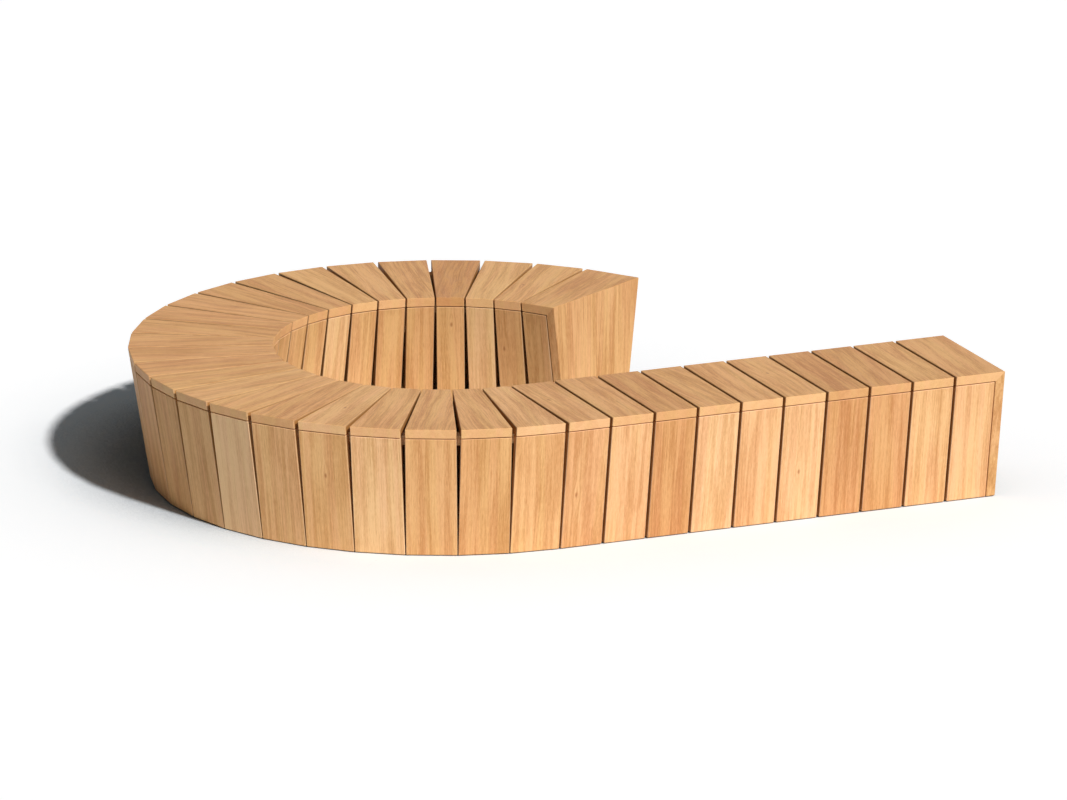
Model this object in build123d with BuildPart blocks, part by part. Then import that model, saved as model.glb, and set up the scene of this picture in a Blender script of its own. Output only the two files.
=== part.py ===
from build123d import *
from dataclasses import dataclass
from math import cos, radians, sin, tan
import os

# A hollow timber bench: a ring of tapered seat boards over 240 degrees, run out into a straight end.
# Both walls lean in towards the floor, so the section is a trapezoid that stands on its short side.
# Lengths are millimetres. The origin is the middle of the bench's plan, on the floor.

# Seat and plan
seat_height = 450.0
seat_depth = 485.0
outer_radius = 1055.0
segment_angle = 10.0
ring_boards = 24
straight_boards = 10
lean_angle = 9.0

# Boards
seat_thickness = 32.0
board_thickness = 32.0
straight_width = 145.0
straight_gap = 10.0
ring_foot_gap = 3.0
ring_inner_gap = 5.4
shadow_gap = 3.0
ground_clearance = 3.0
arris = 1.5

# Rails, which run along both walls behind the cladding
rail_depth = 45.0
top_rail_height = 32.0
sole_rail_height = 45.0
rail_joint_gap = 1.0

# Ribs, one every few boards: two posts, a bearer and a tie lapped beside them
rib_spacing = 3
first_rib = 2
post_thickness = 45.0
post_depth = 60.0
bearer_height = 70.0
tie_height = 60.0
lap_thickness = 32.0
frame_clearance = 2.0

# Floor brackets: an upstand behind the sole rail and a foot that takes a share of the floor inside
bracket_plate = 6.0
bracket_width = 60.0
bracket_foot_share = 0.32
bracket_upstand = 38.0
anchor_radius = 6.0

# Countersunk wood screws for boards and panels
screw_radius = 2.5
screw_head_radius = 5.0
screw_head_height = 3.0
screw_play = 0.1
screw_grip_share = 0.7
seat_screw_share = 0.27
cladding_screw_share = 0.4
panel_screw_shares = (0.2, 0.8)

# Hex head screws for the brackets
coach_radius = 3.0
coach_head_radius = 5.5
coach_head_height = 4.5
coach_grip_share = 0.8
coach_place_share = 0.3

# Coach bolts and nuts for the lapped joints
bolt_radius = 5.0
bolt_head_radius = 11.0
bolt_head_height = 5.0
bolt_play = 0.2
nut_radius = 9.0
nut_height = 8.0
bolt_stub = 4.0

# One overrun serves every cut
overrun = 20.0

# Values that follow from the sizes above
OUTER, INNER = 1, -1
SIDES = {OUTER: "outer", INNER: "inner"}
lean = radians(lean_angle)
half_angle = radians(segment_angle) / 2
inner_radius = outer_radius - seat_depth
seat_underside = seat_height - seat_thickness
cladding_top = seat_underside - shadow_gap
top_rail_low = seat_underside - top_rail_height
sole_rail_top = bracket_plate + sole_rail_height
top_rail_heights = (top_rail_low, seat_underside)
sole_rail_heights = (bracket_plate, sole_rail_top)
post_heights = (sole_rail_top, top_rail_low)
bearer_heights = (top_rail_low - bearer_height, top_rail_low)
tie_heights = (sole_rail_top, sole_rail_top + tie_height)
rail_depths = (board_thickness, board_thickness + rail_depth)
post_depths = (board_thickness, board_thickness + post_depth)
upstand_reach = seat_height * tan(lean) + (rail_depths[1] + bracket_plate) / cos(lean)
bracket_foot = bracket_foot_share * (seat_depth - 2 * upstand_reach)
straight_pitch = straight_width + straight_gap


def wall_y(face, side, z, depth):
    """Distance from the ring's axis, at height z, to the plane that lies depth behind a leaning face."""
    return face - side * ((seat_height - z) * tan(lean) + depth / cos(lean))


@dataclass
class Bay:
    """The length of bench that one board covers. Faces are measured from the ring's axis at the seat."""

    faces: dict
    widths: dict
    half_length: float
    half_angle: float

    def edge(self, y):
        """Half the bay's length at a distance y from the ring's axis."""
        return self.half_length + y * tan(self.half_angle)

    def back_edge(self, y):
        """The bay's other edge."""
        return -self.edge(y)

    def seat_edge(self, y):
        """Half the seat board's width at a distance y from the ring's axis."""
        share = (y - self.faces[INNER]) / (self.faces[OUTER] - self.faces[INNER])
        return (self.widths[INNER] + share * (self.widths[OUTER] - self.widths[INNER])) / 2

    def back_seat_edge(self, y):
        """The seat board's other edge."""
        return -self.seat_edge(y)


def ring_bay():
    """A bay of the ring. Its boards are as wide as the tightest place between two neighbours allows."""
    outer_face = outer_radius * cos(half_angle)
    inner_face = inner_radius * cos(half_angle)
    foot_face = wall_y(outer_face, OUTER, ground_clearance, 0)
    outer_width = 2 * foot_face * tan(half_angle) - ring_foot_gap
    inner_width = 2 * inner_face * tan(half_angle) - ring_inner_gap
    faces = {OUTER: outer_face, INNER: inner_face}
    return Bay(faces, {OUTER: outer_width, INNER: inner_width}, 0, half_angle)


def straight_bay():
    """A bay of the straight run, where all boards are alike."""
    faces = {OUTER: outer_radius, INNER: inner_radius}
    return Bay(faces, {OUTER: straight_width, INNER: straight_width}, straight_pitch / 2, 0)


ring = ring_bay()
straight = straight_bay()

# The ring's axis stands where the whole plan is centred on the origin
ring_reach = ring.faces[OUTER] * cos(half_angle) + ring.widths[OUTER] / 2 * sin(half_angle)
straight_reach = straight_boards * straight_pitch - straight_gap / 2 + board_thickness
axis_x = (ring_reach - straight_reach) / 2
axis_y = (outer_radius - ring_reach) / 2


def ring_plane(turns):
    """Plane at the ring's axis, turned by a number of segments. Its X runs along the bench, Y outwards."""
    angle = turns * 2 * half_angle
    return Plane((axis_x, axis_y, 0), x_dir=(-cos(angle), sin(angle), 0), z_dir=(0, 0, 1))


def straight_plane(distance):
    """Plane like the ring's, moved along the straight run by a distance from where the ring starts."""
    return Plane((axis_x + distance, axis_y, 0), x_dir=(-1, 0, 0), z_dir=(0, 0, 1))


ring_planes = [ring_plane(index + 1 / 2) for index in range(ring_boards)]
straight_planes = [straight_plane((index + 1 / 2) * straight_pitch) for index in range(straight_boards)]

# Every bay in order, from the straight run's free end to the ring's free end
bays = [(straight, plane) for plane in reversed(straight_planes)] + [(ring, plane) for plane in ring_planes]
last = len(bays) - 1
rib_places = range(first_rib, last, rib_spacing)


@dataclass
class End:
    """A free end of the bench: its bay, the plane on its panel's inner face, and the way out of the bench."""

    name: str
    bay: Bay
    bay_plane: Plane
    plane: Plane
    way: int
    inset: float

    def line(self, offset):
        """The panel's inner face in its bay's plan, or a line parallel to it, offset out of the bench."""
        shift = offset / cos(self.bay.half_angle) - self.inset
        return lambda y: self.way * (self.bay.edge(y) + shift)

    def lines(self, near_edge, offset):
        """Side lines of a piece of the end bay, from its bench side edge to a line at the panel."""
        return [lambda y: -self.way * near_edge(y), self.line(offset)][:: self.way]

    def mitre(self):
        """The plane of the mitre between seat board and end panel, facing the panel."""
        outwards = self.plane.x_dir * self.way
        normal = outwards * seat_thickness - Vector(0, 0, board_thickness)
        origin = self.plane.origin + Vector(0, 0, seat_underside)
        return Plane(origin, x_dir=self.plane.y_dir, z_dir=normal)

    def rib_faces(self):
        """The faces that the end rib stands between, clear of cladding that turns away from it."""
        turn = (post_thickness + lap_thickness) * tan(self.bay.half_angle)
        return {OUTER: outer_radius - turn - frame_clearance, INNER: inner_radius + frame_clearance}


straight_end_plane = straight_plane(straight_reach - board_thickness)
straight_end = End("straight", *bays[0], straight_end_plane, -1, straight_gap / 2)
ring_end = End("ring", *bays[last], ring_plane(ring_boards), 1, 0)
ends = [straight_end, ring_end]


def wall_section(face, side, depths, heights):
    """Section of a piece that leans with a wall, between two depths behind its face and two heights."""
    near, far = depths
    low, high = heights
    corners = [(near, low), (near, high), (far, high), (far, low)]
    return [(wall_y(face, side, z, depth), z) for depth, z in corners]


def cross_section(faces, depth, heights):
    """Section of a piece that spans from wall to wall, its ends cut to the lean."""
    low, high = heights
    corners = [(OUTER, low), (OUTER, high), (INNER, high), (INNER, low)]
    return [(wall_y(faces[side], side, z, depth), z) for side, z in corners]


def plan_between(bay, left, right):
    """Plan outline between two side lines, each given as X at a distance from the ring's axis."""
    near = bay.faces[INNER] - overrun
    far = bay.faces[OUTER] + overrun
    return [(left(near), near), (right(near), near), (right(far), far), (left(far), far)]


def bar(section, start, length):
    """A plain bar of one section, run along the bench."""
    with BuildPart() as solid:
        with BuildSketch(Plane.YZ.offset(start)):
            Polygon(*section, align=None)
        extrude(amount=length)
    return solid.part


def trimmed(section, plan):
    """A section run along the bench and trimmed to a plan outline."""
    start = min(x for x, y in plan)
    length = max(x for x, y in plan) - start
    with BuildPart() as solid:
        add(bar(section, start, length))
        with BuildSketch(Plane.XY):
            Polygon(*plan, align=None)
        extrude(amount=seat_height, mode=Mode.INTERSECT)
    return solid.part


def eased(piece):
    """The piece with every edge eased."""
    with BuildPart() as solid:
        add(piece)
        chamfer(solid.edges(), length=arris)
    return solid.part


def drilled(piece, cutter, planes):
    """The piece with a hole cut at each plane."""
    with BuildPart() as solid:
        add(piece)
        with Locations(*[plane.location for plane in planes]):
            add(cutter, mode=Mode.SUBTRACT)
    return solid.part


def moved(piece, plane):
    """The piece set on a plane."""
    with BuildPart() as solid:
        with Locations(plane.location):
            add(piece)
    return solid.part


def turned(outline):
    """A body of revolution about Z from a half outline of radius and height."""
    with BuildPart() as solid:
        with BuildSketch(Plane.XZ):
            Polygon((0, outline[0][1]), *outline, (0, outline[-1][1]), align=None)
        revolve(axis=Axis.Z)
    return solid.part


def wood_screw(length, play=0):
    """Countersunk screw along Z, head flush with its plane. With play it is the hole for the screw."""
    outline = [
        (screw_head_radius + play, 0),
        (screw_radius + play, screw_head_height),
        (screw_radius + play, length + play),
    ]
    return turned(outline)


def coach_screw(length):
    """Hex head screw along Z. Its head stands on its plane."""
    with BuildPart() as solid:
        with BuildSketch(Plane.XY):
            RegularPolygon(radius=coach_head_radius, side_count=6)
        extrude(amount=-coach_head_height)
        with BuildSketch(Plane.XY):
            Circle(coach_radius)
        extrude(amount=length)
    return solid.part


def coach_bolt(length, play=0):
    """Domed bolt along Z, its head sunk below its plane. With play it is the hole for the bolt."""
    outline = [
        (bolt_head_radius + play, 0),
        (bolt_head_radius + play, bolt_head_height + play),
        (bolt_radius + play, bolt_head_height + play),
        (bolt_radius + play, length),
    ]
    return turned(outline)


def nut():
    """Hex nut on its plane, bored to clear the bolt."""
    with BuildPart() as solid:
        with BuildSketch(Plane.XY):
            RegularPolygon(radius=nut_radius, side_count=6)
            Circle(bolt_radius + bolt_play, mode=Mode.SUBTRACT)
        extrude(amount=nut_height)
    return solid.part


def into_wall(bay, side, x, heights):
    """Plane on a rail's back, at mid height, that points out through the wall."""
    z = sum(heights) / 2
    y = wall_y(bay.faces[side], side, z, rail_depths[1])
    return Plane((x, y, z), x_dir=(1, 0, 0), z_dir=(0, side * cos(lean), -sin(lean)))


def seat_screw_planes(bay, side):
    """Under the top rail, pointing up into the seat board."""
    y = wall_y(bay.faces[side], side, sum(top_rail_heights) / 2, sum(rail_depths) / 2)
    offset = seat_screw_share * bay.widths[side]
    return [Plane((x, y, top_rail_low), x_dir=(1, 0, 0), z_dir=(0, 0, 1)) for x in (-offset, offset)]


def cladding_screw_planes(bay, side, heights):
    """Behind a rail, pointing out into the cladding."""
    offset = cladding_screw_share * bay.widths[side]
    return [into_wall(bay, side, x, heights) for x in (-offset, offset)]


def bracket_screw_planes(bay, side):
    """Behind the sole rail, pointing out into it, where the bracket's upstand is screwed on."""
    offset = coach_place_share * bracket_width
    return [into_wall(bay, side, x, sole_rail_heights) for x in (-offset, offset)]


def set_in(planes, local):
    """The planes that a bay's own plane becomes in each of several bays."""
    return [Plane(plane.location * local.location) for plane in planes]


seat_screw_length = top_rail_height + screw_grip_share * seat_thickness
cladding_screw_length = rail_depth + screw_grip_share * board_thickness
panel_screw_length = post_thickness + screw_grip_share * board_thickness
coach_screw_length = coach_grip_share * rail_depth
seat_screw = wood_screw(seat_screw_length)
seat_screw_hole = wood_screw(seat_screw_length, screw_play)
cladding_screw = wood_screw(cladding_screw_length)
cladding_screw_hole = wood_screw(cladding_screw_length, screw_play)
panel_screw = wood_screw(panel_screw_length)
panel_screw_hole = wood_screw(panel_screw_length, screw_play)


def coach_screw_hole(length):
    """Round hole along Z for a bracket screw."""
    return turned([(coach_radius + screw_play, 0), (coach_radius + screw_play, length + screw_play)])


def seat_board(bay, left, right):
    """A seat board, drilled from below for its four screws."""
    section = cross_section(bay.faces, 0, (seat_underside, seat_height))
    piece = eased(trimmed(section, plan_between(bay, left, right)))
    planes = seat_screw_planes(bay, OUTER) + seat_screw_planes(bay, INNER)
    return drilled(piece, seat_screw_hole, planes)


def cladding_board(bay, side, limits, plan):
    """A wall board, cut level at top and foot and drilled from behind for its four screws.

    Its edges follow the lean. Those of the ring's outer wall are bevelled, so that neighbours clear.
    """
    start, stop = limits
    bevel = board_thickness * tan(bay.half_angle) if side == OUTER else 0
    back = -side * board_thickness
    face_top = (0, bay.faces[side], seat_height)
    along = Plane(face_top, x_dir=(1, 0, 0), z_dir=(0, side * sin(lean), cos(lean)))
    with BuildPart() as solid:
        with BuildSketch(along):
            Polygon((start, 0), (stop, 0), (stop - bevel, back), (start + bevel, back), align=None)
        extrude(amount=-(seat_height / cos(lean) + overrun))
        with BuildSketch(Plane.XY.offset(ground_clearance)):
            Polygon(*plan, align=None)
        extrude(amount=cladding_top - ground_clearance, mode=Mode.INTERSECT)
    planes = cladding_screw_planes(bay, side, top_rail_heights)
    planes += cladding_screw_planes(bay, side, sole_rail_heights)
    return drilled(eased(solid.part), cladding_screw_hole, planes)


def end_seat_board(end):
    """The last seat board, which runs over the end panel and is mitred to it."""
    piece = seat_board(end.bay, *end.lines(end.bay.seat_edge, board_thickness))
    with BuildPart() as solid:
        add(moved(piece, end.bay_plane))
        split(bisect_by=end.mitre(), keep=Keep.BOTTOM)
    return solid.part


def end_cladding_board(end, side):
    """The last wall board, which stops a shadow gap short of the end panel."""
    bay = end.bay
    reach = bay.edge(bay.faces[OUTER])
    limits = sorted((-end.way * bay.widths[side] / 2, end.way * reach))
    return cladding_board(bay, side, limits, plan_between(bay, *end.lines(bay.edge, -shadow_gap)))


def panel_screw_planes(end):
    """On the back of each end post, pointing out into the end panel."""
    low, high = tie_heights[1], bearer_heights[0]
    planes = []
    for side in SIDES:
        for share in panel_screw_shares:
            z = low + share * (high - low)
            y = wall_y(end.rib_faces()[side], side, z, sum(post_depths) / 2)
            origin = end.plane.from_local_coords((-end.way * post_thickness, y, z))
            planes.append(Plane(origin, x_dir=end.plane.y_dir, z_dir=end.plane.x_dir * end.way))
    return planes


def end_panel(end):
    """The board face that closes an end, mitred to the seat board along its top."""
    section = cross_section(end.bay.faces, 0, (ground_clearance, seat_height))
    sides = [end.line(offset) for offset in (0, board_thickness)][:: end.way]
    piece = eased(trimmed(section, plan_between(end.bay, *sides)))
    with BuildPart() as solid:
        add(moved(piece, end.bay_plane))
        split(bisect_by=end.mitre(), keep=Keep.TOP)
    return drilled(solid.part, panel_screw_hole, panel_screw_planes(end))


def rail_block(bay, side, heights, left, right, bracketed):
    """One bay's length of a rail with its screw holes. Blocks that meet on a bay's edge make one rail."""
    section = wall_section(bay.faces[side], side, rail_depths, heights)
    piece = trimmed(section, plan_between(bay, left, right))
    piece = drilled(piece, cladding_screw_hole, cladding_screw_planes(bay, side, heights))
    if heights == top_rail_heights:
        piece = drilled(piece, seat_screw_hole, seat_screw_planes(bay, side))
    elif bracketed:
        piece = drilled(piece, coach_screw_hole(coach_screw_length), bracket_screw_planes(bay, side))
    return piece


def rail(side, heights):
    """A whole rail: long pieces, each joined to the next over a rib."""
    joint = rail_joint_gap / 2
    blocks = []
    for bay in (straight, ring):
        inner_bays = [place for place in range(1, last) if bays[place][0] is bay]
        at_ribs = [bays[place][1] for place in inner_bays if place in rib_places]
        between = [bays[place][1] for place in inner_bays if place not in rib_places]
        full = rail_block(bay, side, heights, bay.back_edge, bay.edge, False)
        first_half = rail_block(bay, side, heights, bay.back_edge, lambda y: -joint, True)
        second_half = rail_block(bay, side, heights, lambda y: joint, bay.edge, True)
        blocks += [(full, between), (first_half, at_ribs), (second_half, at_ribs)]
    for end in ends:
        piece = rail_block(end.bay, side, heights, *end.lines(end.bay.edge, 0), True)
        blocks.append((piece, [end.bay_plane]))
    return blocks


def floor_bracket(bay, side):
    """Steel base plate under the sole rail, with a screwed upstand and an anchor hole inside the bench."""
    face = bay.faces[side]
    depths = (rail_depths[1], rail_depths[1] + bracket_plate)
    outside = wall_y(face, side, ground_clearance, rail_depths[0])
    inside = wall_y(face, side, 0, depths[1]) - side * bracket_foot
    hole_y = wall_y(face, side, 0, depths[1]) - side * bracket_foot / 2
    base = [(outside, 0), (outside, bracket_plate), (inside, bracket_plate), (inside, 0)]
    with BuildPart() as solid:
        with BuildSketch(Plane.YZ.offset(-bracket_width / 2)):
            Polygon(*base, align=None)
            Polygon(*wall_section(face, side, depths, (0, bracket_plate + bracket_upstand)), align=None)
        extrude(amount=bracket_width)
        with BuildSketch(Plane.XY):
            with Locations((0, hole_y)):
                Circle(anchor_radius)
        extrude(amount=bracket_plate, mode=Mode.SUBTRACT)
        with Locations(*[plane.offset(-bracket_plate).location for plane in bracket_screw_planes(bay, side)]):
            add(coach_screw_hole(coach_screw_length), mode=Mode.SUBTRACT)
    return solid.part


@dataclass
class Rib:
    """A frame across the bench. Its posts start at X = start and the lapped pieces lie on their far side."""

    faces: dict
    start: float
    way: int

    def slab(self, section, offset, thickness):
        """A piece of the rib, offset from its start."""
        return bar(section, self.start + self.way * offset, self.way * thickness)

    def joint_planes(self, side):
        """Where bolts enter a post, pointing through it into the bearer and the tie."""
        planes = []
        for heights in (bearer_heights, tie_heights):
            z = sum(heights) / 2
            y = wall_y(self.faces[side], side, z, sum(post_depths) / 2)
            planes.append(Plane((self.start, y, z), x_dir=(0, 1, 0), z_dir=(self.way, 0, 0)))
        return planes

    def all_joints(self):
        return self.joint_planes(OUTER) + self.joint_planes(INNER)

    def post(self, side):
        section = wall_section(self.faces[side], side, post_depths, post_heights)
        return drilled(self.slab(section, 0, post_thickness), bolt_hole, self.joint_planes(side))

    def lap(self, heights):
        """The bearer or the tie, between the walls and bolted to both posts."""
        section = cross_section(self.faces, board_thickness + frame_clearance, heights)
        piece = self.slab(section, post_thickness, lap_thickness)
        return drilled(piece, bolt_hole, self.all_joints())

    def bolts(self):
        with BuildPart() as solid:
            with Locations(*[plane.location for plane in self.all_joints()]):
                add(frame_bolt)
        return solid.part

    def nuts(self):
        with BuildPart() as solid:
            with Locations(*[plane.offset(joint_thickness).location for plane in self.all_joints()]):
                add(nut())
        return solid.part


joint_thickness = post_thickness + lap_thickness
bolt_length = joint_thickness + nut_height + bolt_stub
frame_bolt = coach_bolt(bolt_length)
bolt_hole = coach_bolt(bolt_length, bolt_play)


def write_node(name, copies):
    """Writes one node made of pieces, each copied to its own planes."""
    with BuildPart() as node:
        add([piece.moved(plane.location) for piece, planes in copies for plane in planes])
    node.part.label = name
    export_step(node.part, f"parts/{name}.step")


def seat():
    """Writes every seat board as a node of its own."""
    for title, bay, planes in (("ring", ring, ring_planes), ("straight", straight, straight_planes)):
        piece = seat_board(bay, bay.back_seat_edge, bay.seat_edge)
        for index, plane in enumerate(planes[:-1]):
            write_node(f"{title}_seat_board_{index + 1:02d}", [(piece, [plane])])
    for end in ends:
        count = len(ring_planes) if end is ring_end else len(straight_planes)
        write_node(f"{end.name}_seat_board_{count:02d}", [(end_seat_board(end), [Plane.XY])])


def walls():
    """Writes the cladding of each wall and the two end panels."""
    titles = {OUTER: ("straight_front", "ring_outer"), INNER: ("straight_back", "ring_inner")}
    for side in SIDES:
        for title, end, planes in zip(titles[side], ends, (straight_planes, ring_planes)):
            bay = end.bay
            edge = bay.widths[side] / 2
            piece = cladding_board(bay, side, (-edge, edge), plan_between(bay, bay.back_edge, bay.edge))
            last_piece = end_cladding_board(end, side)
            write_node(f"{title}_cladding", [(piece, planes[:-1]), (last_piece, planes[-1:])])
    for end in ends:
        write_node(f"{end.name}_end_panel", [(end_panel(end), [Plane.XY])])


def rails():
    """Writes the four rails."""
    for side, title in SIDES.items():
        write_node(f"{title}_top_rail", rail(side, top_rail_heights))
        write_node(f"{title}_sole_rail", rail(side, sole_rail_heights))


def ribs():
    """Writes the posts, bearers and ties, with their bolts and nuts."""
    frames = []
    for bay in (straight, ring):
        planes = [bays[index][1] for index in rib_places if bays[index][0] is bay]
        frames.append((Rib(bay.faces, post_thickness / 2, -1), planes))
    for end in ends:
        frames.append((Rib(end.rib_faces(), 0, -end.way), [end.plane]))
    posts = {side: [(rib.post(side), planes) for rib, planes in frames] for side in SIDES}
    for end, index in zip(ends, (-2, -1)):
        for side in SIDES:
            piece, planes = posts[side][index]
            piece = drilled(moved(piece, end.plane), panel_screw_hole, panel_screw_planes(end))
            posts[side][index] = (piece, [Plane.XY])
    for side, title in SIDES.items():
        write_node(f"{title}_posts", posts[side])
    write_node("seat_bearers", [(rib.lap(bearer_heights), planes) for rib, planes in frames])
    write_node("bottom_ties", [(rib.lap(tie_heights), planes) for rib, planes in frames])
    write_node("frame_bolts", [(rib.bolts(), planes) for rib, planes in frames])
    write_node("frame_nuts", [(rib.nuts(), planes) for rib, planes in frames])


def fixings():
    """Writes the floor brackets and all screws."""
    seat_copies, cladding_copies, brackets, bracket_copies = [], [], [], []
    coach = coach_screw(coach_screw_length)
    supported = [0, *rib_places, last]
    for bay, planes in ((straight, straight_planes), (ring, ring_planes)):
        on_floor = [bays[index][1] for index in supported if bays[index][0] is bay]
        for side in SIDES:
            in_wall = cladding_screw_planes(bay, side, top_rail_heights)
            in_wall += cladding_screw_planes(bay, side, sole_rail_heights)
            on_upstand = [local.offset(-bracket_plate) for local in bracket_screw_planes(bay, side)]
            seat_copies += [(seat_screw, set_in(planes, local)) for local in seat_screw_planes(bay, side)]
            cladding_copies += [(cladding_screw, set_in(planes, local)) for local in in_wall]
            bracket_copies += [(coach, set_in(on_floor, local)) for local in on_upstand]
            brackets.append((floor_bracket(bay, side), on_floor))
    write_node("floor_brackets", brackets)
    write_node("seat_screws", seat_copies)
    write_node("cladding_screws", cladding_copies)
    write_node("bracket_screws", bracket_copies)
    write_node("panel_screws", [(panel_screw, panel_screw_planes(end)) for end in ends])


os.makedirs("parts", exist_ok=True)
seat()
walls()
rails()
ribs()
fixings()
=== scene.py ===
"""Dresses the curved garden bench: oiled hardwood boards over a sawn frame, in a pale studio."""
from math import cos, radians, sin, tan

import bpy
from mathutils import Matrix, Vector


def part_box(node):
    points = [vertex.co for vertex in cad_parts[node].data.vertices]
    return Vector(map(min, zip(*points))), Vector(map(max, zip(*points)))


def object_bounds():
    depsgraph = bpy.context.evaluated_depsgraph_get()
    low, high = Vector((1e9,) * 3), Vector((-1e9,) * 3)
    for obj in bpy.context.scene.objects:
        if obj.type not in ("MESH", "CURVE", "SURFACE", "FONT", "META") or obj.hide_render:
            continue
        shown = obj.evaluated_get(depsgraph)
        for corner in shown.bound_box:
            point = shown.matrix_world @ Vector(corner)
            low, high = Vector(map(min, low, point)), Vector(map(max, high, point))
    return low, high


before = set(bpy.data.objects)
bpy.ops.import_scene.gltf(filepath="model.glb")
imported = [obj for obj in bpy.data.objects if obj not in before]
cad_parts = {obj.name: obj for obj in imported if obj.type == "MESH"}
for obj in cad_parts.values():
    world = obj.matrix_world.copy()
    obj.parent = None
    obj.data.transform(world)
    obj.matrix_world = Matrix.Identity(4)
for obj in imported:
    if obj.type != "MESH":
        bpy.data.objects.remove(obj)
cad_low, cad_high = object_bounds()

# Bench, in metres and radians, as the frame has it
SEAT_TOP = cad_high.z
LEAN = radians(9)
SEGMENT = radians(10)
FULL_TURN = radians(360)
RING_BOARDS = 24
STRAIGHT_BOARDS = 10
STRAIGHT_PITCH = 0.155
OUTER_RADIUS = 1.055
INNER_RADIUS = 0.570
BOARD = 0.032
RAIL_DEPTH = 0.045
AXIS = Vector((-0.261335, 0.000335, 0))
OUTER_FACE = OUTER_RADIUS * cos(SEGMENT / 2)
INNER_FACE = INNER_RADIUS * cos(SEGMENT / 2)
WALL_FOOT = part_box("ring_outer_cladding")[0].z
WALL_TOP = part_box("ring_outer_cladding")[1].z

# Gaps between the ring's boards, at the foot of the outer wall and at the inner face
RING_FOOT_GAP, RING_INNER_GAP = 0.003, 0.0054

# Widths of the boards at the outer and the inner face
STRAIGHT_WIDTH = 0.145
OUTER_FOOT = OUTER_FACE - (SEAT_TOP - WALL_FOOT) * tan(LEAN)
RING_OUTER_WIDTH = 2 * OUTER_FOOT * tan(SEGMENT / 2) - RING_FOOT_GAP
RING_INNER_WIDTH = 2 * INNER_FACE * tan(SEGMENT / 2) - RING_INNER_GAP

# Tone of the boards that are lighter or darker than their neighbours, counted as the nodes are
STRAIGHT_SEAT_TONES = {1: 0.25, 3: -0.5, 7: -0.5, 8: -0.5, 10: -0.1}
STRAIGHT_WALL_TONES = {1: -0.25, 3: -0.8, 4: 0.5, 6: 0.25, 7: -0.7, 8: -0.7}
RING_SEAT_TONES = {
    1: 0.5, 4: 0.1, 5: 0.5, 6: -0.15, 8: 0.3, 10: -0.3, 11: -0.25, 12: -0.2, 13: -0.2,
    14: -0.2, 15: -0.2, 16: -0.35, 17: -0.3, 20: -0.2, 21: -0.9, 22: 0.2, 24: -0.3,
}
# Ring wall boards 9 to 11 lie on the shaded left and are darker partly as painted shade, partly as
# their own tone
RING_WALL_TONES = {
    2: -0.35, 3: -0.15, 4: 0.9, 6: 0.3, 7: 1.2, 8: 0.15, 9: -0.35, 10: -0.4, 11: -0.3,
}
INNER_TONES = {17: 0.9, 19: -0.2, 20: -0.3, 21: -0.2, 22: 1.0, 23: -0.2}
GREYISH_BOARD = 7

# What is added to the boards' numbers, so that the boards of each part have a figure of their own.
# A seat board and the outer wall board below it share one.
RING_SEED, STRAIGHT_SEED = 7.0, 100.0
BACK_SEED, INNER_SEED = 200.0, 300.0
RING_END_SEED, STRAIGHT_END_SEED = 605.0, 705.0
RAIL_SEED, POST_SEED, BEARER_SEED = 800.0, 830.0, 860.0

# Depths of the rails behind the face of a wall, and the heights between which they run
RAIL_DEPTHS = (BOARD, BOARD + RAIL_DEPTH)
TOP_RAIL = (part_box("outer_top_rail")[0].z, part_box("outer_top_rail")[1].z)
SOLE_RAIL = (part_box("outer_sole_rail")[0].z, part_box("outer_sole_rail")[1].z)

# Width of the staves that an end panel is glued from
STAVE = 0.118

# Free ends: how far the bench turns to the ring's end, and where the straight run stops
RING_END_TURN = RING_BOARDS * SEGMENT
STRAIGHT_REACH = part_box("straight_end_panel")[1].x - AXIS.x

# Oiled hardwood, in linear colour
LIGHT_WOOD = (0.96, 0.60, 0.28)
MIDDLE_WOOD = (0.82, 0.465, 0.198)
DARK_WOOD = (0.60, 0.29, 0.10)
GOLD = (0.99, 0.991, 0.976)
BLUSH = (1.005, 0.949, 1.009)
GREY_WOOD = (0.98, 0.71, 0.45)
RUBBED_WOOD = (0.82, 0.57, 0.33)
FLECK_BROWN = (0.42, 0.18, 0.07)
KNOT_BROWN = (0.42, 0.15, 0.05)
# Painted shade for the faces in the gaps: a duller brown at their lip, a dark brown deep down
SHALLOW_GAP_SHADE = (0.68, 0.50, 0.34)
DEEP_GAP_SHADE = (0.52, 0.26, 0.09)
END_TINT = (1.10, 1.19, 1.42)
SAW_GREY = (0.66, 0.53, 0.38)

# The floor as the camera sees it, in the open and with a painted shade close to the bench, and the
# share of that colour which it keeps in the lee of the walls, a painted shadow
FLOOR_WHITE = (1.23, 1.21, 1.20)
FLOOR_CORNER_SHADE = (0.90, 0.955, 0.985)
FLOOR_LEE_SHADE = (0.22, 0.252, 0.292)

# What a board of full dark or full pale tone is multiplied by
DARK_TONE = (0.80, 0.69, 0.58)
PALE_TONE = (1.09, 1.17, 1.32)

# What the wood of each part is multiplied by
FRONT_TINT = (0.97, 0.96, 0.99)
SEAT_TINT = (0.86, 0.785, 0.655)
RING_TINT = (0.93, 0.92, 0.88)
# The inner walls are darker partly as painted shade inside the ring, partly as a darker wood
INNER_TINT_AND_SHADE = (0.82, 0.81, 0.76)
PANEL_TINT = (0.85, 0.81, 0.75)
FRAME_TINT = (0.98, 1.18, 1.45)

# How far the grain slants: on wall boards and the frame, on end panels and on seat boards
WALL_SLANT, PANEL_SLANT, SEAT_SLANT = 0.06, 0.15, 0.3

# How much a sawn face shows its saw marks, and how much oiled wood shines
SAW_MARKS = 0.35
WOOD_SPECULAR = 0.16

# From one growth ring to the next
GROWTH_RING = 0.0085

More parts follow.
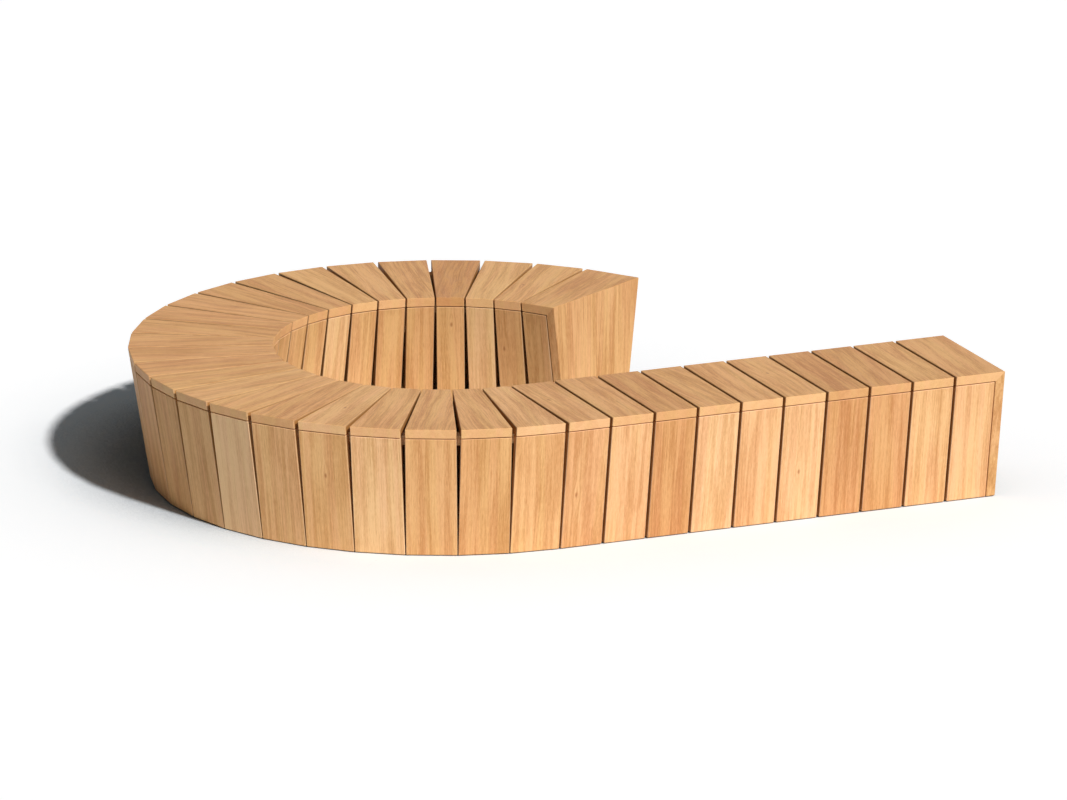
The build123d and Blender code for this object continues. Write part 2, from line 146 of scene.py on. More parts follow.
# Knots: the random share above which a board has one, the room across and along a board in which
# it lies, the radii between which it fades out, and how far and how much the grain flows round it
KNOT_SHARE = 0.74
KNOT_ROOM = (0.09, 0.34)
KNOT_FADE = (0.001, 0.0065)
KNOT_REACH, KNOT_BULGE = 0.03, 0.007

# Distances over which a worn arris, an end face and the painted shade of a seam fade out
ARRIS_FADE = (0.0008, 0.0045)
FACE_FADE = (0.0004, 0.0012)
SEAM_FADE = (0.0008, 0.0022)

# Depths between which the painted shade in a seam comes to its full strength, and its share of it
# above them
SEAT_SEAM_DEPTHS, SEAT_SEAM_LIP = (0.0015, 0.008), 0.55
WALL_SEAM_DEPTHS, WALL_SEAM_LIP = (0.0, 0.0045), 0.4

# A distance at which no arris shows
NO_EDGE = 1.0

# Steel, in linear colour
ZINC_DARK, ZINC_LIGHT, ZINC_DULL = (0.46, 0.48, 0.49), (0.66, 0.68, 0.69), (0.55, 0.55, 0.54)
STAINLESS_DARK, STAINLESS_LIGHT = (0.50, 0.49, 0.47), (0.64, 0.63, 0.61)

# Camera, in metres and degrees
CAMERA_PLACE = (-15.249, -35.848, 11.337)
CAMERA_DOWN, CAMERA_TURN = 15.924, -23.133
FOCAL_LENGTH, SENSOR_WIDTH = 407.37, 36
CAMERA_CLIP = (1, 500)

# A soft sun from the front and right, and a wide glow round it: name, energy, angle in degrees
KEY_AZIMUTH, KEY_ELEVATION = radians(11.4), radians(41.2)
LAMPS = (("key", 3.48, 3.6), ("glow", 0.36, 100))

WHITE = (1.0, 1.0, 1.0)

# Light of the sky: its colour, its strength at the horizon and higher up, and how high that starts
SKY = (0.35, 0.75, 1.0)
SKY_STRENGTH = (0.06, 0.04)
SKY_RISE = 0.35

# Floor: half its width, what it bounces, how far the painted halo and the painted lee shade of the
# bench reach, and the shares of open sky between which each of them fades
FLOOR_HALF = 150.0
FLOOR_BOUNCE = (0.82, 0.82, 0.82)
HALO_REACH, HALO_RAMP = 0.9, (0.60, 1.0)
LEE_REACH, LEE_RAMP = 0.8, (0.44, 0.665)
OCCLUSION_SAMPLES = 8


class Tree:
    """Builds a node tree, one call for each node, and returns sockets."""

    def __init__(self, tree):
        self.tree = tree

    def node(self, kind, inputs=(), **settings):
        made = self.tree.nodes.new(kind)
        for name, value in settings.items():
            setattr(made, name, value)
        for name, value in dict(inputs).items():
            self.set(made.inputs[name], value)
        return made

    def set(self, socket, value):
        if isinstance(value, bpy.types.NodeSocket):
            self.tree.links.new(value, socket)
        else:
            socket.default_value = value

    def math(self, operation, *values):
        made = self.tree.nodes.new("ShaderNodeMath")
        made.operation = operation
        for socket, value in zip(made.inputs, values):
            self.set(socket, value)
        return made.outputs[0]

    def add(self, a, b):
        return self.math("ADD", a, b)

    def sub(self, a, b):
        return self.math("SUBTRACT", a, b)

    def mul(self, a, b):
        return self.math("MULTIPLY", a, b)

    def combine(self, x, y, z):
        return self.node("ShaderNodeCombineXYZ", {"X": x, "Y": y, "Z": z}).outputs[0]

    def ramp(self, value, low, high, to_low=0.0, to_high=1.0, smooth=True):
        """The value carried from one range to another, clamped."""
        inputs = {"Value": value, "From Min": low, "From Max": high}
        inputs |= {"To Min": to_low, "To Max": to_high}
        kind = "SMOOTHSTEP" if smooth else "LINEAR"
        return self.node("ShaderNodeMapRange", inputs, interpolation_type=kind).outputs[0]

    def swing(self, share, reach):
        """A share's distance from its middle, times a reach."""
        return self.mul(self.sub(share, 0.5), reach)

    def length(self, a, b):
        return self.math("SQRT", self.add(self.mul(a, a), self.mul(b, b)))

    def is_board(self, number, board):
        """One where a board's number is the given one, zero elsewhere."""
        return self.math("COMPARE", number, float(board), 0.4)

    def noise(self, vector, detail=2.0, roughness=0.5, scale=1.0):
        inputs = {"Vector": vector, "Scale": scale, "Detail": detail, "Roughness": roughness}
        return self.node("ShaderNodeTexNoise", inputs).outputs[0]

    def random(self, number, seed):
        """Three random shares for each board number."""
        inputs = {"W": self.add(number, seed)}
        made = self.node("ShaderNodeTexWhiteNoise", inputs, noise_dimensions="1D")
        split = self.node("ShaderNodeSeparateColor", {"Color": made.outputs["Color"]}).outputs
        return split[0], split[1], split[2]

    def blend(self, share, a, b, kind="MIX"):
        made = self.node("ShaderNodeMix", data_type="RGBA", blend_type=kind)
        for index, value in ((0, share), (6, a), (7, b)):
            self.set(made.inputs[index], value)
        return made.outputs[2]

    def tint(self, share, colour, by):
        """A colour multiplied by another, as far as the share says."""
        return self.blend(share, colour, rgba(by), "MULTIPLY")

    def surface(self, values, height, strength, distance):
        """A principled shader over a bump, as the material's output."""
        shader = self.node("ShaderNodeBsdfPrincipled", values)
        inputs = {"Strength": strength, "Distance": distance, "Height": height}
        self.set(shader.inputs["Normal"], self.node("ShaderNodeBump", inputs).outputs[0])
        self.show("ShaderNodeOutputMaterial", shader.outputs[0])

    def show(self, kind, shader):
        self.set(self.node(kind).inputs["Surface"], shader)

    def mix_shaders(self, share, first, second):
        mixed = self.node("ShaderNodeMixShader", {"Fac": share})
        self.set(mixed.inputs[1], first)
        self.set(mixed.inputs[2], second)
        return mixed.outputs[0]


def rgba(colour):
    return (*colour, 1.0)


def new_group(name, inputs, outputs):
    """An empty node group and the tree, input sockets and output node to build it with."""
    group = bpy.data.node_groups.new(name, "ShaderNodeTree")
    for title in inputs:
        group.interface.new_socket(title, in_out="INPUT", socket_type="NodeSocketFloat")
    for title, kind in outputs.items():
        group.interface.new_socket(title, in_out="OUTPUT", socket_type=kind)
    tree = Tree(group)
    given = tree.node("NodeGroupInput").outputs
    result = tree.node("NodeGroupOutput").inputs
    return group, tree, given, result


PLACES = ("Across", "Outward", "Up", "Run", "Number")
SPACE = dict.fromkeys(PLACES, "NodeSocketFloat")


def position(tree):
    """Where a point lies from the ring's axis."""
    place = tree.node("ShaderNodeTexCoord").outputs["Object"]
    split = tree.node("ShaderNodeSeparateXYZ", {"Vector": place}).outputs
    return tree.sub(split[0], AXIS.x), tree.sub(split[1], AXIS.y), split[2]


def ring_space():
    """A ring board's own frame: across it, outward from the ring's axis, up and along the ring."""
    group, tree, _, result = new_group("ring_space", (), SPACE)
    x, y, z = position(tree)

    # Counted from one segment before the first board, so that it doesn't start afresh on a board
    turn = tree.math("ARCTAN2", tree.mul(x, -1.0), tree.mul(y, -1.0))
    turn = tree.math("MODULO", tree.add(turn, FULL_TURN + SEGMENT), FULL_TURN)
    segment = tree.math("FLOOR", tree.math("DIVIDE", tree.sub(turn, SEGMENT), SEGMENT))
    segment = tree.math("MINIMUM", segment, RING_BOARDS - 1.0)
    middle = tree.mul(tree.add(segment, 1.5), SEGMENT)
    off = tree.sub(turn, middle)
    radius = tree.length(x, y)
    tree.set(result["Across"], tree.mul(radius, tree.math("SINE", off)))
    tree.set(result["Outward"], tree.mul(radius, tree.math("COSINE", off)))
    tree.set(result["Up"], z)
    tree.set(result["Run"], tree.mul(turn, (OUTER_RADIUS + INNER_RADIUS) / 2))
    tree.set(result["Number"], tree.add(segment, 1.0))
    return group


def straight_space():
    """The same frame for the boards of the straight run."""
    group, tree, _, result = new_group("straight_space", (), SPACE)
    x, y, z = position(tree)
    place = tree.math("FLOOR", tree.math("DIVIDE", x, STRAIGHT_PITCH))
    place = tree.math("MINIMUM", place, STRAIGHT_BOARDS - 1.0)
    middle = tree.mul(tree.add(place, 0.5), STRAIGHT_PITCH)
    tree.set(result["Across"], tree.sub(x, middle))
    tree.set(result["Outward"], tree.mul(y, -1.0))
    tree.set(result["Up"], z)
    tree.set(result["Run"], x)
    tree.set(result["Number"], tree.add(place, 1.0))
    return group


def frame_space():
    """The ring's frame or the straight run's, for the pieces inside that run through both."""
    group, tree, _, result = new_group("frame_space", (), SPACE)
    x, y, z = position(tree)
    straight = tree.mul(tree.math("GREATER_THAN", x, 0.0), tree.math("LESS_THAN", y, 0.0))
    ring_made = tree.node("ShaderNodeGroup", node_tree=ring_nodes).outputs
    straight_made = tree.node("ShaderNodeGroup", node_tree=straight_nodes).outputs
    for place in PLACES:
        picked = tree.node("ShaderNodeMix", data_type="FLOAT")
        tree.set(picked.inputs[0], straight)
        tree.set(picked.inputs[2], ring_made[place])
        tree.set(picked.inputs[3], straight_made[place])
        tree.set(result[place], picked.outputs[0])
    return group


def panel_space(name, turn, way, reach, first_stave):
    """A free end's frame: across the panel from its middle, inward from its face, and up.

    The panel is glued from staves, and each has a number of its own."""
    group, tree, _, result = new_group(name, (), SPACE)
    x, y, z = position(tree)
    outward = tree.add(tree.mul(x, -sin(turn)), tree.mul(y, -cos(turn)))
    across = tree.sub(outward, (OUTER_RADIUS + INNER_RADIUS) / 2)
    past = tree.mul(tree.add(tree.mul(x, -cos(turn)), tree.mul(y, sin(turn))), way)
    stave = tree.math("FLOOR", tree.math("DIVIDE", across, STAVE))
    tree.set(result["Across"], across)
    tree.set(result["Outward"], tree.sub(reach, past))
    tree.set(result["Up"], z)
    tree.set(result["Run"], outward)
    tree.set(result["Number"], tree.add(stave, first_stave))
    return group


def timber_group():
    """Hardwood figure from a point's place in its board and from the board's number."""
    names = ("Across", "Along", "Through", "Number", "Tone", "Grey", "Slant", "Edge", "End", "Gap")
    outputs = dict.fromkeys(("Colour", "Roughness", "Height"), "NodeSocketFloat")
    outputs["Colour"] = "NodeSocketColor"
    group, t, given, result = new_group("timber", names, outputs)
    across, along, through, number, tone = [given[name] for name in names[:5]]
    grey, slant, edge, end, gap = [given[name] for name in names[5:]]
    r1, r2, r3 = t.random(number, 0.37)
    r4, r5, r6 = t.random(number, 51.7)
    r7, r8, r9 = t.random(number, 93.1)
    shift = t.mul(number, 3.17)

    def drawn_out(place, across_scale, along_scale):
        """A place for noise that has its own scales across and along the board."""
        run = t.add(t.mul(along, along_scale), shift)
        return t.combine(t.mul(place, across_scale), run, t.mul(through, across_scale))

    # Grain at a slant to the board, and its slow sway
    sway = t.noise(t.combine(t.mul(number, 2.7), t.add(t.mul(along, 2.4), shift), 0.0), 1.0)
    across = t.add(across, t.swing(sway, t.mul(slant, 0.12)))
    across = t.add(across, t.swing(r5, t.mul(along, slant)))

    # A small knot in some boards, which the grain flows round
    gate = t.math("GREATER_THAN", r3, KNOT_SHARE)
    off = t.sub(across, t.swing(r1, KNOT_ROOM[0]))
    off_along = t.mul(t.sub(along, t.swing(r2, KNOT_ROOM[1])), 0.5)
    far = t.length(off, off_along)
    flow = t.mul(t.ramp(far, 0.0, KNOT_REACH, KNOT_BULGE, 0.0), gate)
    bent = t.sub(across, t.mul(flow, t.math("SIGN", off)))
    knot = t.mul(t.ramp(far, *KNOT_FADE, 1.0, 0.0), gate)

    # Growth rings about a pith line that lies off the board and slants to it
    pith_across = t.add(t.swing(r4, 0.24), t.mul(along, t.swing(r5, 0.16)))
    pith_depth = t.add(t.add(0.012, t.mul(r6, 0.09)), t.mul(along, t.swing(r7, 0.14)))
    reach = t.length(t.sub(bent, pith_across), t.add(through, pith_depth))
    wobble = t.noise(drawn_out(bent, 22.0, 3.0), 2.0)
    turns = t.add(t.math("DIVIDE", reach, GROWTH_RING), t.mul(wobble, 2.4))
    phase = t.math("FRACT", turns)
    late = t.mul(t.ramp(phase, 0.25, 0.93), t.ramp(phase, 0.93, 1.0, 1.0, 0.0))

    def grain(across_scale, along_scale, detail, rough):
        """Noise drawn out along the board, which flows round the knot."""
        return t.noise(drawn_out(bent, across_scale, along_scale), detail, rough)

    # Broad strips and narrow streaks of tone, shorter where the grain slants
    shortness = t.add(0.5, t.mul(slant, 1.7))
    broad = grain(38.0, t.mul(shortness, 2.0), 2.0, 0.6)
    narrow = grain(210.0, t.mul(shortness, 9.0), 3.0, 0.62)
    dash = grain(320.0, 45.0, 2.0, 0.6)
    cloud = t.noise(t.combine(t.mul(across, 7.0), t.add(t.mul(along, 3.5), shift), 0.0), 2.0)

    # Dark lines, fibres, flecks and open pores
    line = t.ramp(grain(260.0, 2.4, 1.0, 0.5), 0.60, 0.74)
    fibre = grain(900.0, 30.0, 2.0, 0.6)
    fleck = t.ramp(grain(330.0, 21.0, 1.0, 0.5), 0.68, 0.80)
    pore = t.ramp(grain(1500.0, 60.0, 1.0, 0.5), 0.66, 0.74)

    # All of them together say how pale the wood is. They are fainter on an end face.
    value = t.swing(broad, t.add(0.55, slant))
    swings = (t.ramp(broad, 0.44, 0.56), 0.22), (narrow, t.add(0.95, t.mul(slant, 2.0)))
    for share, weight in (*swings, (dash, 0.9), (cloud, 0.7), (fibre, 0.50)):
        value = t.add(value, t.swing(share, weight))
    value = t.sub(value, t.mul(late, 0.14))
    value = t.sub(value, t.mul(line, 0.20))
    value = t.mul(value, t.sub(1.0, t.mul(end, 0.7)))
    value = t.add(value, t.add(0.62, t.swing(r8, 0.20)))
    value = t.add(value, t.mul(tone, 0.08))
    value = t.add(value, t.mul(end, 0.12))
    ramp = t.node("ShaderNodeValToRGB", {"Fac": value})
    ramp.color_ramp.interpolation = "B_SPLINE"
    stops = ramp.color_ramp.elements
    stops[0].position, stops[0].color = 0.0, rgba(DARK_WOOD)
    stops[1].position, stops[1].color = 1.0, rgba(LIGHT_WOOD)
    middle = stops.new(0.52)
    middle.color = rgba(MIDDLE_WOOD)
    colour = ramp.outputs[0]

    # Some boards and some strips are pinker than others
    blush_run = t.add(t.mul(along, 1.3), shift)
    blush = t.noise(t.combine(t.mul(bent, 26.0), blush_run, t.mul(number, 1.9)), 1.0)
    blush = t.add(t.mul(t.ramp(blush, 0.40, 0.62), 0.7), t.mul(r9, 0.3))
    colour = t.blend(1.0, colour, t.blend(blush, rgba(GOLD), rgba(BLUSH)), "MULTIPLY")
    for share, by in ((t.mul(tone, -1.0), DARK_TONE), (tone, PALE_TONE), (end, END_TINT)):
        colour = t.tint(share, colour, by)

    # Rubbed arrises are paler and rougher
    wear = t.mul(edge, t.ramp(t.noise(drawn_out(across, 60.0, 25.0), 2.0), 0.35, 0.62))
    for share, strength, over in (
        (grey, 0.25, GREY_WOOD), (fleck, 0.35, FLECK_BROWN), (pore, 0.25, FLECK_BROWN),
        (knot, 0.7, KNOT_BROWN), (wear, 0.10, RUBBED_WOOD),
    ):
        colour = t.blend(t.mul(share, strength), colour, rgba(over))

    # Painted shade: faces inside the gaps, and the arrises beside them, are darkened, most of all
    # deep down
    gap_shade = t.blend(t.ramp(gap, 0.5, 1.0), rgba(SHALLOW_GAP_SHADE), rgba(DEEP_GAP_SHADE))
    colour = t.blend(t.mul(gap, 0.9), colour, gap_shade)

    roughness = t.add(0.50, t.swing(fibre, 0.22))
    roughness = t.add(t.add(roughness, t.mul(late, -0.05)), t.mul(wear, 0.12))
    height = t.add(t.mul(fibre, 0.5), t.mul(late, 0.25))
    height = t.sub(height, t.add(t.mul(pore, 0.5), t.mul(knot, 0.3)))
    t.set(result["Colour"], colour)
    t.set(result["Roughness"], roughness)
    t.set(result["Height"], height)
    return group


def arris(t, a, b, c):
    """How near a point is to an edge of its board, from its distances to three pairs of faces."""
    low, high = t.math("MINIMUM", a, b), t.math("MAXIMUM", a, b)
    second = t.math("MAXIMUM", low, t.math("MINIMUM", high, c))
    return t.ramp(second, *ARRIS_FADE, 1.0, 0.0)


def on_face(t, distance):
    """One on the face that a distance is measured from, zero a millimetre away."""
    return t.ramp(distance, *FACE_FADE, 1.0, 0.0)


def new_material(name):
    """An empty material and the tree to build it with."""
    material = bpy.data.materials.new(name)
    material.use_nodes = True
    material.node_tree.nodes.clear()
    return material, Tree(material.node_tree)


def timber(name, space, layout, tint, seed=0.0, tones=None, grey=0.0, slant=WALL_SLANT, sawn=0.0):
    """A hardwood material.

    The layout turns a board's frame into places across, along and through the board, and into
    shares that say how much a point lies on an arris, on an end face and in a gap."""
    material, t = new_material(name)
    places = t.node("ShaderNodeGroup", node_tree=space).outputs
    across, along, through, edge, end, gap = layout(t, places)
    number = places["Number"]
    shade = 0.0
    for board, tone in (tones or {}).items():
        shade = t.add(shade, t.mul(t.is_board(number, board), tone))
    if grey:
        grey = t.is_board(number, grey)
    inputs = {"Across": across, "Along": along, "Through": through, "Number": t.add(number, seed)}
    inputs |= {"Tone": shade, "Grey": grey, "Slant": slant}
    inputs |= {"Edge": edge, "End": end, "Gap": gap}
    figure = t.node("ShaderNodeGroup", node_tree=timber_nodes)
    for key, value in inputs.items():
        t.set(figure.inputs[key], value)
    colour = t.tint(1.0, figure.outputs["Colour"], tint)
    roughness, height = figure.outputs["Roughness"], figure.outputs["Height"]
    if sawn:
        place = t.combine(t.mul(along, 520.0), t.mul(across, 9.0), t.mul(through, 9.0))
        marks = t.noise(place, 2.0)
        colour = t.blend(t.mul(t.ramp(marks, 0.45, 0.7), sawn), colour, rgba(SAW_GREY))
        height = t.add(height, t.mul(marks, 2.2))
        roughness = t.add(roughness, 0.2)
    values = {"Base Color": colour, "Roughness": roughness, "Specular IOR Level": WOOD_SPECULAR}
    t.surface(values, height, strength=0.5, distance=0.0004)
    return material


def wall_line(t, face, side, up):
    """Distance from the ring's axis to a leaning face, at a height."""
    return t.sub(face, t.mul(t.sub(SEAT_TOP, up), side * tan(LEAN)))


def past_last(t, places, last_board):
    """A metre on the half of the last board that runs on over the end panel, without a seam."""
    last = t.is_board(places["Number"], last_board)
    return t.mul(last, t.math("GREATER_THAN", places["Across"], 0.0))


def seat_layout(outer_width, inner_width, outer_face, inner_face, last_board):
    """Grain from front to back, over a board that tapers from its outer to its inner width."""
    def layout(t, places):
        across, outward, up = places["Across"], places["Outward"], places["Up"]
        slope = (outer_width - inner_width) / 2 / (outer_face - inner_face)
        half = t.add(inner_width / 2, t.mul(t.sub(outward, inner_face), slope))
        side = t.add(t.sub(half, t.math("ABSOLUTE", across)), past_last(t, places, last_board))
        outer_end = t.sub(wall_line(t, outer_face, 1, up), outward)
        inner_end = t.sub(outward, wall_line(t, inner_face, -1, up))
        end = t.math("MINIMUM", outer_end, inner_end)
        through = t.sub(SEAT_TOP, up)
        surface = t.math("MINIMUM", through, t.sub(BOARD, through))
        along = t.sub(outward, (outer_face + inner_face) / 2)
        deep = t.ramp(t.math("MINIMUM", through, end), *SEAT_SEAM_DEPTHS, SEAT_SEAM_LIP, 1.0)
        gap = t.mul(on_face(t, side), deep)
        return across, along, through, arris(t, side, end, surface), on_face(t, end), gap
    return layout


def wall_layout(width, face, side):
    """Grain up and down a wall board."""
    def layout(t, places):
        across, up = places["Across"], places["Up"]
        through = t.mul(t.sub(wall_line(t, face, side, up), places["Outward"]), side * cos(LEAN))
        edge = t.sub(width / 2, t.math("ABSOLUTE", across))
        end = t.math("MINIMUM", t.sub(up, WALL_FOOT), t.sub(WALL_TOP, up))
        surface = t.math("MINIMUM", through, t.sub(BOARD, through))
        deep = t.ramp(through, *WALL_SEAM_DEPTHS, WALL_SEAM_LIP, 1.0)
        gap = t.mul(t.ramp(edge, *SEAM_FADE, 1.0, 0.0), deep)
        along = t.sub(up, SEAT_TOP / 2)
        return across, along, through, arris(t, edge, end, surface), on_face(t, end), gap
    return layout


def panel_layout(t, places):
    """Grain up and down an end panel, between its leaning edges."""
    through, up, run = places["Outward"], places["Up"], places["Run"]
    outer_edge = t.sub(wall_line(t, OUTER_FACE, 1, up), run)
    inner_edge = t.sub(run, wall_line(t, INNER_FACE, -1, up))
    edge = t.math("MINIMUM", outer_edge, inner_edge)
    end = t.math("MINIMUM", t.sub(up, WALL_FOOT), t.sub(SEAT_TOP, up))
    surface = t.math("MINIMUM", through, t.sub(BOARD, through))
    along = t.sub(up, SEAT_TOP / 2)
    return places["Across"], along, through, arris(t, edge, end, surface), 0.0, 0.0


def rail_layout(face, side, low, high):
    """Grain along a rail behind a wall, between two heights."""
    def layout(t, places):
        up = places["Up"]
        through = t.mul(t.sub(wall_line(t, face, side, up), places["Outward"]), side * cos(LEAN))
        surface = t.math("MINIMUM", t.sub(through, RAIL_DEPTHS[0]), t.sub(RAIL_DEPTHS[1], through))
        top = t.math("MINIMUM", t.sub(up, low), t.sub(high, up))
        return t.sub(up, low), places["Run"], through, arris(t, top, surface, NO_EDGE), 0.0, 0.0
    return layout


def post_layout(t, places):
    """Grain up and down a post."""
    return places["Across"], places["Up"], places["Outward"], 0.0, 0.0, 0.0


def bearer_layout(t, places):
    """Grain from front to back along a bearer or a tie."""
    return places["Up"], places["Outward"], places["Across"], 0.0, 0.0, 0.0


def galvanised_steel():
    """Zinc spangle over steel, duller in patches."""
    material, t = new_material("galvanised_steel")
    place = t.node("ShaderNodeTexCoord").outputs["Object"]
    cells = t.node("ShaderNodeTexVoronoi", {"Vector": place, "Scale": 160.0})
    spangle = t.node("ShaderNodeSeparateColor", {"Color": cells.outputs["Color"]}).outputs[0]
    patch = t.noise(place, 3.0, 0.6, 24.0)
    dull = t.ramp(patch, 0.5, 0.75)
    colour = t.blend(spangle, rgba(ZINC_DARK), rgba(ZINC_LIGHT))
    colour = t.blend(t.mul(dull, 0.6), colour, rgba(ZINC_DULL))
    roughness = t.add(t.add(0.34, t.mul(spangle, 0.14)), t.mul(dull, 0.2))
    values = {"Base Color": colour, "Roughness": roughness, "Metallic": 0.85}
    t.surface(values, t.add(spangle, patch), strength=0.3, distance=0.0002)
    return material


def stainless_steel():
    """Drawn and polished screw stock, with fine scratches."""
    material, t = new_material("stainless_steel")
    place = t.node("ShaderNodeTexCoord").outputs["Object"]
    scratch = t.noise(place, 3.0, 0.7, 2400.0)
    patch = t.noise(place, 2.0, 0.5, 180.0)
    colour = t.blend(patch, rgba(STAINLESS_DARK), rgba(STAINLESS_LIGHT))
    roughness = t.add(0.22, t.mul(scratch, 0.2))
    values = {"Base Color": colour, "Roughness": roughness, "Metallic": 1.0}
    t.surface(values, scratch, strength=0.2, distance=0.0001)
    return material


def dress(names, material):
    """Gives a material to every slot of the named nodes."""
    for name in names:
        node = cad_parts[name]
        if not node.material_slots:
            node.data.materials.append(material)
        for slot in node.material_slots:
            slot.link = "OBJECT"
            slot.material = material


timber_nodes = timber_group()
ring_nodes = ring_space()
straight_nodes = straight_space()
frame_nodes = frame_space()

ring_seat = timber(
    "ring_seat_timber", ring_nodes,
    seat_layout(RING_OUTER_WIDTH, RING_INNER_WIDTH, OUTER_FACE, INNER_FACE, RING_BOARDS),
    tint=SEAT_TINT, seed=RING_SEED, tones=RING_SEAT_TONES, slant=SEAT_SLANT,
)
straight_seat = timber(
    "straight_seat_timber", straight_nodes,
    seat_layout(STRAIGHT_WIDTH, STRAIGHT_WIDTH, OUTER_RADIUS, INNER_RADIUS, STRAIGHT_BOARDS),
    tint=SEAT_TINT, seed=STRAIGHT_SEED, tones=STRAIGHT_SEAT_TONES, slant=SEAT_SLANT,
)
ring_outer_wall = timber(
    "ring_outer_wall_timber", ring_nodes, wall_layout(RING_OUTER_WIDTH, OUTER_FACE, 1),
    tint=RING_TINT, seed=RING_SEED, tones=RING_WALL_TONES, grey=GREYISH_BOARD,
)
ring_inner_wall = timber(
    "ring_inner_wall_timber", ring_nodes, wall_layout(RING_INNER_WIDTH, INNER_FACE, -1),
    tint=INNER_TINT_AND_SHADE, seed=INNER_SEED, tones=INNER_TONES,
)
straight_front = timber(
    "straight_front_timber", straight_nodes, wall_layout(STRAIGHT_WIDTH, OUTER_RADIUS, 1),
    tint=FRONT_TINT, seed=STRAIGHT_SEED, tones=STRAIGHT_WALL_TONES,
)
straight_back = timber(
    "straight_back_timber", straight_nodes, wall_layout(STRAIGHT_WIDTH, INNER_RADIUS, -1),
    tint=RING_TINT, seed=BACK_SEED,
)
dress([f"ring_seat_board_{index + 1:02d}" for index in range(RING_BOARDS)], ring_seat)
dress([f"straight_seat_board_{index + 1:02d}" for index in range(STRAIGHT_BOARDS)], straight_seat)
dress(["ring_outer_cladding"], ring_outer_wall)
dress(["ring_inner_cladding"], ring_inner_wall)
dress(["straight_front_cladding"], straight_front)
dress(["straight_back_cladding"], straight_back)

ring_end_nodes = panel_space("ring_end_space", RING_END_TURN, 1, BOARD, RING_END_SEED)
straight_end_nodes = panel_space("straight_end_space", 0, -1, STRAIGHT_REACH, STRAIGHT_END_SEED)
for title, space in (("ring", ring_end_nodes), ("straight", straight_end_nodes)):
    panel = timber(f"{title}_end_timber", space, panel_layout, tint=PANEL_TINT, slant=PANEL_SLANT)
    dress([f"{title}_end_panel"], panel)

for title, face, side in (("outer", OUTER_FACE, 1), ("inner", INNER_FACE, -1)):
    for place, heights in (("top", TOP_RAIL), ("sole", SOLE_RAIL)):
        rail = timber(
            f"{title}_{place}_rail_timber", frame_nodes, rail_layout(face, side, *heights),
            tint=FRAME_TINT, seed=RAIL_SEED, sawn=SAW_MARKS,
        )
        dress([f"{title}_{place}_rail"], rail)
for title, layout, seed, names in (
    ("post", post_layout, POST_SEED, ["outer_posts", "inner_posts"]),
    ("bearer", bearer_layout, BEARER_SEED, ["seat_bearers", "bottom_ties"]),
):
    dress(names, timber(f"{title}_timber", frame_nodes, layout, FRAME_TINT, seed, sawn=SAW_MARKS))
dress(["floor_brackets", "frame_bolts", "frame_nuts"], galvanised_steel())
dress(["seat_screws", "cladding_screws", "bracket_screws", "panel_screws"], stainless_steel())

# Camera at the photograph's angle
camera = bpy.data.objects.new("camera", bpy.data.cameras.new("camera"))
bpy.context.scene.collection.objects.link(camera)
camera.location = CAMERA_PLACE
camera.rotation_euler = (radians(90 - CAMERA_DOWN), 0, radians(CAMERA_TURN))
camera.data.lens = FOCAL_LENGTH
camera.data.sensor_width = SENSOR_WIDTH
camera.data.clip_start, camera.data.clip_end = CAMERA_CLIP
bpy.context.scene.camera = camera

# The key light and its glow, both from where towards points
level = cos(KEY_ELEVATION)
towards = Vector((sin(KEY_AZIMUTH) * level, -cos(KEY_AZIMUTH) * level, sin(KEY_ELEVATION)))
for title, energy, angle in LAMPS:
    lamp = bpy.data.objects.new(title, bpy.data.lights.new(title, "SUN"))
    bpy.context.scene.collection.objects.link(lamp)
    lamp.rotation_mode = "QUATERNION"
    lamp.rotation_quaternion = towards.to_track_quat("Z", "Y")
    lamp.data.energy = energy
    lamp.data.angle = radians(angle)


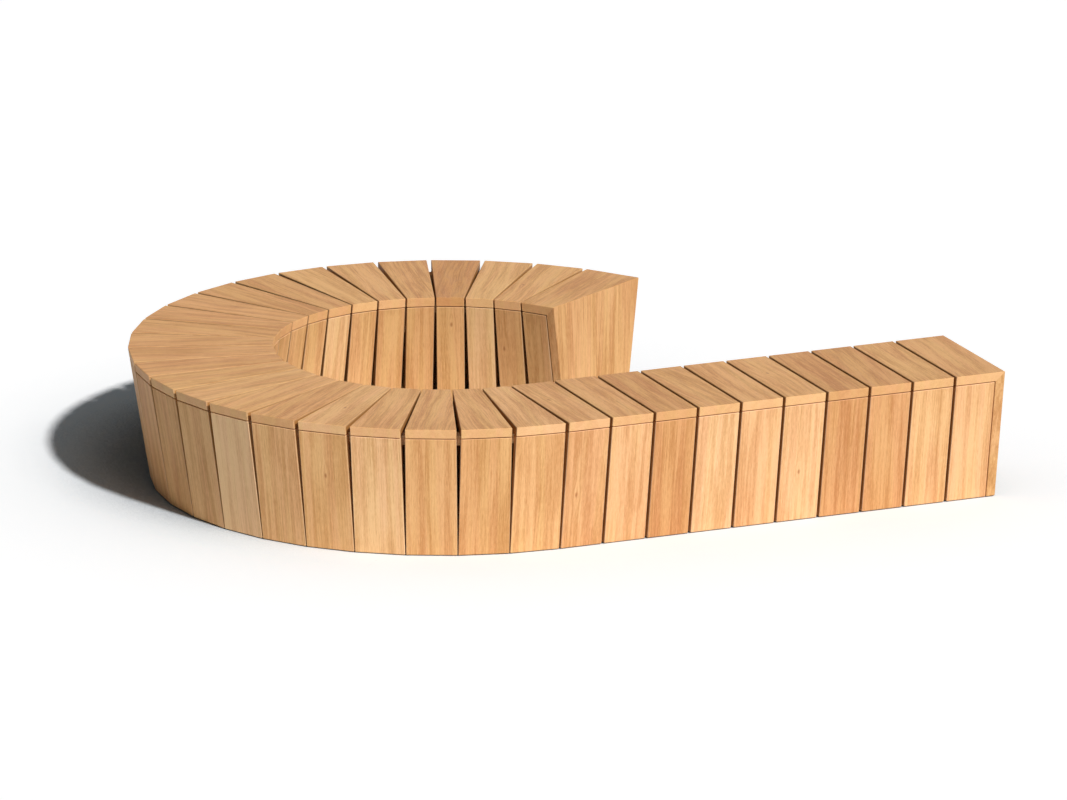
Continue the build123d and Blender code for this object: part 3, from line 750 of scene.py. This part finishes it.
def pale_world():
    """Soft light, stronger near the horizon. Camera, glossy and transmission rays see white."""
    world = bpy.data.worlds.new("studio")
    bpy.context.scene.world = world
    world.use_nodes = True
    world.node_tree.nodes.clear()
    t = Tree(world.node_tree)
    direction = t.node("ShaderNodeTexCoord").outputs["Generated"]
    up = t.node("ShaderNodeSeparateXYZ", {"Vector": direction}).outputs[2]
    strength = t.ramp(up, 0.0, SKY_RISE, *SKY_STRENGTH)
    soft = t.node("ShaderNodeBackground", {"Color": rgba(SKY), "Strength": strength})
    white = t.node("ShaderNodeBackground", {"Color": rgba(WHITE), "Strength": 1.0})
    path = t.node("ShaderNodeLightPath").outputs
    mirrored = t.math("MAXIMUM", path["Is Glossy Ray"], path["Is Transmission Ray"])
    seen = t.math("MAXIMUM", path["Is Camera Ray"], mirrored)
    t.show("ShaderNodeOutputWorld", t.mix_shaders(seen, soft.outputs[0], white.outputs[0]))


def pale_floor():
    """A wide floor that renders white where the key light reaches it and keeps the bench's shadow.

    Two ambient occlusion nodes shade it as the camera sees it: an upright one close to the bench,
    and one tilted towards the key light in the lee of the walls."""
    mesh = bpy.data.meshes.new("floor")
    signs = ((-1, -1), (1, -1), (1, 1), (-1, 1))
    mesh.from_pydata([(x * FLOOR_HALF, y * FLOOR_HALF, 0) for x, y in signs], [], [(0, 1, 2, 3)])
    floor = bpy.data.objects.new("floor", mesh)
    bpy.context.scene.collection.objects.link(floor)
    material, t = new_material("floor")

    def openness(inputs, low, high):
        kind = "ShaderNodeAmbientOcclusion"
        share = t.node(kind, inputs, samples=OCCLUSION_SAMPLES).outputs["AO"]
        return t.ramp(share, low, high, smooth=False)

    # Painted shade: darker close to the bench, and a painted shadow in the lee of its walls
    halo = openness({"Distance": HALO_REACH}, *HALO_RAMP)
    white = t.blend(halo, rgba(FLOOR_CORNER_SHADE), rgba(FLOOR_WHITE))
    clear = openness({"Distance": LEE_REACH, "Normal": t.combine(*towards)}, *LEE_RAMP)
    kept = t.blend(t.mul(clear, clear), rgba(FLOOR_LEE_SHADE), rgba(WHITE))
    white = t.blend(1.0, white, kept, "MULTIPLY")
    seen = t.node("ShaderNodeBsdfDiffuse", {"Color": white})
    bounced = t.node("ShaderNodeBsdfDiffuse", {"Color": rgba(FLOOR_BOUNCE)})
    share = t.node("ShaderNodeLightPath").outputs["Is Camera Ray"]
    t.show("ShaderNodeOutputMaterial", t.mix_shaders(share, bounced.outputs[0], seen.outputs[0]))
    mesh.materials.append(material)


pale_world()
pale_floor()
bpy.context.scene.view_settings.view_transform = "Standard"
